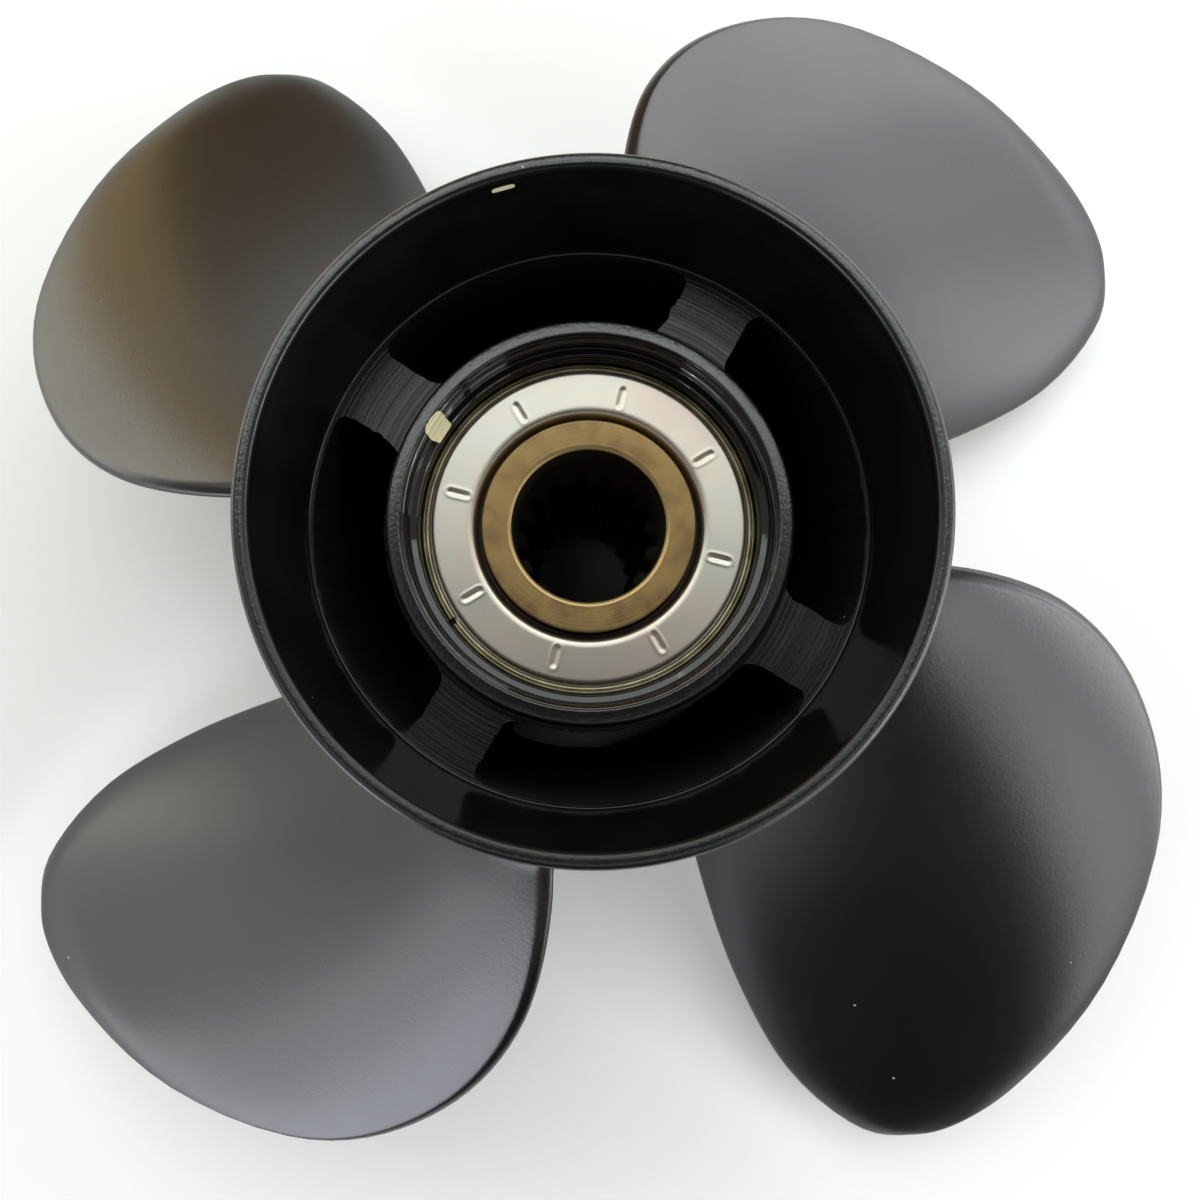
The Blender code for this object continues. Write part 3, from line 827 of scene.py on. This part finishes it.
# Pieces in the bore. The clearances part the rubber and the rings from their neighbours.
CLEARANCE = 0.25
WIDE_CLEARANCE = 0.3
SLEEVE_BORE = 13.2
BORE_BAND = 0.5
CHAMFER_WIDTH = 0.6
CHAMFER_DEPTH = 0.4
DARK_BORE_DEPTH = 0.9
LIGHT_EDGE_WIDTH = 0.7
SPLINE_TEETH = 15
SPLINE_DEPTH = 1.6
SPLINE_TOP = FRONT - 36.0
SPLINE_RUN_OUT = 1.5
TOOTH_HALF_SHARE = 0.32
FLANK_SHARE = 0.09
STEPS_PER_TOOTH = 12
BUSH_EDGE_DROP = 1.4
BUSH_COLLAR = 2.2
BUSH_STEP = 3.0
BUSH_TURN_STEPS = 120
STAMPED_INNER = 19.8
STAMPED_LIP = 19.2
STAMPED_SHOULDER = 27.2
SHEET = 0.9
PRESSED_STEP = 0.3
PRESSED_BAND = 0.3
STAMPED_LIP_DROP = 1.7
STAMPED_LIP_FOOT = 1.2
STEPS_PER_INDENT = 80
INDENT_COUNT = 8
INDENT_FIRST_ANGLE = 30.7
INDENT_MIDDLE = 23.2
INDENT_LENGTH = 3.9
INDENT_WIDTH = 1.15
INDENT_PRESS = 0.22
INDENT_BORDER = 0.05
SNAP_INNER = 27.7
SNAP_GAP_ANGLE = 214.9
SNAP_GAP = 1.0
SNAP_VALLEY_RADIUS = 28.33
SNAP_VALLEY_DEPTH = 0.4
SNAP_RIDGE = 0.2
SNAP_CREST = 0.55
SNAP_CROWN = 0.1
SNAP_TURN_STEPS = 160


def make_sleeve():
    """The brass sleeve: a turned tube whose lower bore has straight splines."""
    outline = rounded((
        (SLEEVE_RADIUS, SLEEVE_FOOT, 0.4),
        (SLEEVE_RADIUS, SLEEVE_FACE, 0.35),
        (SLEEVE_BORE + CHAMFER_WIDTH, SLEEVE_FACE, 0.3),
        (SLEEVE_BORE, SLEEVE_FACE - CHAMFER_DEPTH, 0.2),
        (SLEEVE_BORE, SPLINE_TOP, 0.0),
        (SLEEVE_BORE, SLEEVE_FOOT, 0.4),
    ))
    bm = turned(outline, SPLINE_TEETH * STEPS_PER_TOOTH)
    for vert in bm.verts:
        radius = math.hypot(vert.co.x, vert.co.y)
        below = min(1.0, max(0.0, (SPLINE_TOP - vert.co.z) / SPLINE_RUN_OUT))
        if radius > SLEEVE_BORE + BORE_BAND or below <= 0:
            continue
        turn = (math.atan2(vert.co.y, vert.co.x) / (2 * math.pi) * SPLINE_TEETH) % 1.0
        tooth = min(1.0, max(0.0, (TOOTH_HALF_SHARE - abs(turn - 0.5)) / FLANK_SHARE))
        factor = (SLEEVE_BORE - SPLINE_DEPTH * tooth * below) / SLEEVE_BORE
        vert.co.x *= factor
        vert.co.y *= factor
    sleeve = placed("sleeve", bm, [BRASS, BORE], "brass", ["brass_sleeve"])
    for face in sleeve.data.polygons:
        centre = face.center / MM
        inside = math.hypot(centre.x, centre.y) < SLEEVE_BORE + NEAR
        # Faces of the bore deeper than a band below the face take the near-black brown bore colour.
        face.material_index = int(inside and centre.z < SLEEVE_FACE - DARK_BORE_DEPTH)
    return sleeve


def make_bush():
    """The rubber: a thick tube with a low collar at the sleeve, narrower under the hub's shoulder."""
    inner = SLEEVE_RADIUS + CLEARANCE
    outer = BUSH_BORE_RADIUS - CLEARANCE
    neck = SHOULDER_RADIUS - WIDE_CLEARANCE
    outline = rounded((
        (outer, BUSH_FOOT + BUSH_STEP, 0.4),
        (outer, BUSH_TOP - BUSH_EDGE_DROP, 0.4),
        (inner + BUSH_COLLAR, BUSH_TOP - BUSH_EDGE_DROP, 0.3),
        (inner + BUSH_COLLAR - 1.0, BUSH_TOP, 0.3),
        (inner, BUSH_TOP, 0.2),
        (inner, BUSH_FOOT, 0.2),
        (inner + BUSH_STEP, BUSH_FOOT, 0.5),
        (neck, BUSH_FOOT + BUSH_STEP / 2, 0.5),
        (neck, BUSH_FOOT + BUSH_STEP, 0.0),
    ))
    return placed("bush", turned(outline, BUSH_TURN_STEPS), [RUBBER], "rubber", ["rubber_bush"])


def make_stamped_ring():
    """The pressed ring: a top face with radial indents between two turned-down edges."""
    top = STAMPED_TOP
    foot = STAMPED_FOOT
    lip_foot = foot + STAMPED_LIP_FOOT
    flange = BUSH_BORE_RADIUS - WIDE_CLEARANCE
    outline = rounded((
        (flange, foot, 0.0),
        (flange, foot + SHEET, 0.2),
        (STAMPED_SHOULDER, foot + SHEET, 0.2),
        (STAMPED_SHOULDER, top, 0.7),
        (STAMPED_INNER, top, 1.1),
        (STAMPED_LIP, top - STAMPED_LIP_DROP, 0.3),
        (STAMPED_LIP, lip_foot, 0.0),
        (STAMPED_INNER + SHEET, lip_foot, 0.0),
        (STAMPED_INNER + SHEET, top - SHEET, 0.3),
        (STAMPED_SHOULDER - SHEET, top - SHEET, 0.3),
        (STAMPED_SHOULDER - SHEET, foot, 0.0),
    ), step=PRESSED_STEP)
    bm = turned(outline, INDENT_COUNT * STEPS_PER_INDENT)
    spacing = 2 * math.pi / INDENT_COUNT
    for vert in bm.verts:
        if vert.co.z < top - PRESSED_BAND:
            continue
        radius = math.hypot(vert.co.x, vert.co.y)
        angle = math.atan2(vert.co.y, vert.co.x) - math.radians(INDENT_FIRST_ANGLE)
        away = (angle + spacing / 2) % spacing - spacing / 2
        across = abs(away) * radius
        along = max(0.0, abs(radius - INDENT_MIDDLE) - (INDENT_LENGTH - INDENT_WIDTH) / 2)
        distance = math.hypot(across, along) / (INDENT_WIDTH / 2)
        if distance < 1:
            vert.co.z -= INDENT_PRESS * (1 - distance**2) ** 1.2
        elif distance < 2:
            vert.co.z += INDENT_BORDER * math.sin(math.pi * (distance - 1))
    return placed("pressed_ring", bm, [STAINLESS], "stainless", ["stamped_ring"])


def make_snap_ring():
    """The sprung ring: two round ridges with a narrow valley between, open at one place."""
    outer = GROOVE_RADIUS - WIDE_CLEARANCE
    outline = rounded((
        (outer, SNAP_FOOT, 0.15),
        (outer, SNAP_TOP - SNAP_VALLEY_DEPTH, 0.1),
        (SNAP_VALLEY_RADIUS + SNAP_CREST, SNAP_TOP - SNAP_CROWN, 0.12),
        (SNAP_VALLEY_RADIUS + SNAP_RIDGE, SNAP_TOP, 0.12),
        (SNAP_VALLEY_RADIUS, SNAP_TOP - SNAP_VALLEY_DEPTH, 0.1),
        (SNAP_VALLEY_RADIUS - SNAP_RIDGE, SNAP_TOP, 0.12),
        (SNAP_INNER, SNAP_TOP - SNAP_CROWN, 0.15),
        (SNAP_INNER, SNAP_FOOT, 0.15),
    ))
    gap = SNAP_GAP / SNAP_INNER
    bm = turned(outline, SNAP_TURN_STEPS, sweep=2 * math.pi - gap)
    bmesh.ops.holes_fill(bm, edges=bm.edges, sides=0)
    turn = Matrix.Rotation(math.radians(SNAP_GAP_ANGLE) + gap / 2, 3, "Z")
    bmesh.ops.rotate(bm, verts=bm.verts, cent=(0, 0, 0), matrix=turn)
    return placed("retaining_ring", bm, [OLIVE], "spring_steel", ["snap_ring"])


# Studio, in metres.
FLOOR_COLOUR = (0.96, 0.96, 0.96)
FLOOR_RADIUS = 0.85
FLOOR_DROP = 0.0002
FILL_COLOUR = (0.75, 0.77, 0.8, 1.0)
FILL_STRENGTH = 0.02
BACKDROP_COLOUR = (1.0, 1.0, 1.0, 1.0)
PANEL_DISTANCE = 1.2
PANEL_AIM = Vector((0.0, 0.0, 0.08))
# Soft panels that face the object, as name, azimuths and elevation in degrees, width and
# height, radiance and colour.
PANELS = (
    ("right_window", (330, 345, 0), 13, 0.32, 0.62, 4.6, (0.96, 0.98, 1.0)),
    ("far_right_window", (45, 60), 8, 0.32, 0.42, 4.2, (0.98, 1.0, 0.98)),
    ("right_wall", (15, 30), 8, 0.32, 0.42, 3.3, (0.96, 0.98, 1.0)),
    ("window_end", (311,), 16, 0.32, 0.42, 4.6, (0.96, 1.0, 1.0)),
    ("left_window", (150, 165), 8, 0.32, 0.42, 3.9, (1.0, 0.99, 0.92)),
    ("left_window_end", (135,), 8, 0.32, 0.42, 4.2, (1.0, 0.97, 0.80)),
    ("left_wall", (180, 195), 8, 0.32, 0.42, 2.2, (0.98, 1.0, 0.96)),
    ("near_left_wall", (210,), 8, 0.32, 0.42, 4.5, (0.92, 0.95, 1.0)),
    ("near_left_window", (226,), 10, 0.36, 0.42, 7.5, (0.87, 0.89, 1.0)),
    ("warm_lamp", (120,), 8, 0.32, 0.42, 2.1, (1.0, 0.66, 0.24)),
    ("warm_glow", (88, 104), 8, 0.32, 0.42, 0.5, (1.0, 0.5, 0.1)),
    ("far_cornice", (45, 90, 135), 43, 0.72, 0.45, 2.8, (0.95, 1.0, 0.96)),
    ("near_cornice", (0, 180, 225, 270, 315), 43, 0.72, 0.45, 0.5, (1.0, 0.95, 0.86)),
    ("ceiling", (60, 120), 66, 0.50, 0.48, 2.0, (0.94, 1.0, 1.0)),
    ("ceiling_right", (7,), 75, 0.18, 0.18, 1.2, (1.0, 0.98, 0.93)),
    ("ceiling_left", (203,), 82, 0.16, 0.13, 1.4, (1.0, 0.98, 0.93)),
    ("right_panes", (330, 350), 17, 0.06, 0.07, 45.0, (1.0, 1.0, 1.0)),
    ("left_pane", (230,), 19, 0.05, 0.07, 30.0, (1.0, 1.0, 1.0)),
)


def soft_panel(name, azimuth, elevation, width, height, radiance, colour):
    """A rectangular lamp on a sphere about the object, turned to face it."""
    lamp = bpy.data.lights.new(name, "AREA")
    lamp.shape = "RECTANGLE"
    lamp.size = width
    lamp.size_y = height
    lamp.energy = radiance * math.pi * width * height
    lamp.color = colour
    turn = math.radians(azimuth)
    rise = math.radians(elevation)
    away = Vector((math.cos(turn) * math.cos(rise), math.sin(turn) * math.cos(rise), math.sin(rise)))
    thing = bpy.data.objects.new(name, lamp)
    facing = (-away).to_track_quat("-Z", "Y").to_matrix().to_4x4()
    thing.matrix_world = Matrix.Translation(PANEL_AIM + away * PANEL_DISTANCE) @ facing
    bpy.context.scene.collection.objects.link(thing)


def set_floor():
    """A round pale floor, a hair below the rim that stands on it."""
    bm = bmesh.new()
    bmesh.ops.create_circle(bm, cap_ends=True, segments=96, radius=FLOOR_RADIUS)
    mesh = bpy.data.meshes.new("floor")
    bm.to_mesh(mesh)
    bm.free()
    mesh.materials.append(new_material("pale_floor", FLOOR_COLOUR, 0.9)[0])
    floor = bpy.data.objects.new("floor", mesh)
    floor.location.z = -FLOOR_DROP
    bpy.context.scene.collection.objects.link(floor)


def set_backdrop():
    """A faint fill light from all round; the camera itself sees white behind the floor."""
    world = bpy.data.worlds.new("studio")
    world.use_nodes = True
    tree = world.node_tree
    fill = tree.nodes["Background"]
    fill.inputs["Color"].default_value = FILL_COLOUR
    fill.inputs["Strength"].default_value = FILL_STRENGTH
    backdrop = add(tree, "ShaderNodeBackground", {"Color": BACKDROP_COLOUR})
    direct = add(tree, "ShaderNodeLightPath").outputs["Is Camera Ray"]
    seen = add(tree, "ShaderNodeMixShader", {0: direct, 1: fill.outputs[0], 2: backdrop.outputs[0]})
    tree.links.new(seen.outputs[0], tree.nodes["World Output"].inputs["Surface"])
    bpy.context.scene.world = world


def set_studio():
    set_floor()
    set_backdrop()
    for name, azimuths, *rest in PANELS:
        for azimuth in azimuths:
            soft_panel(name, azimuth, *rest)
    bpy.context.scene.view_settings.view_transform = "Standard"


set_camera()
GRAIN = grain_group()
SPECKS = specks_group()
TURNING = turning_group()
OUTSIDE_PAINT = satin_paint("satin_black_paint", (0.003, 0.003, 0.003), 0.30)
MARKS = marks_group()
INSIDE_GLOSS = gloss_paint()
FACED_WEB = machined_paint("turned_web_paint", (0.004, 0.004, 0.004), 0.17)
END_FACE_PAINT = satin_paint("end_face_paint", (0.006, 0.007, 0.008), 0.26, grain=0.35, ior=1.72)
CORED_WALL = satin_paint("cored_wall_black", (0.002, 0.002, 0.002), 0.60, grain=0.5)
BRASS = aged_brass()
BORE = dark_bore()
STAINLESS = pressed_stainless()
OLIVE = olive_steel()
RUBBER = bush_rubber()
make_casting()
make_sleeve()
make_bush()
make_stamped_ring()
make_snap_ring()
set_studio()
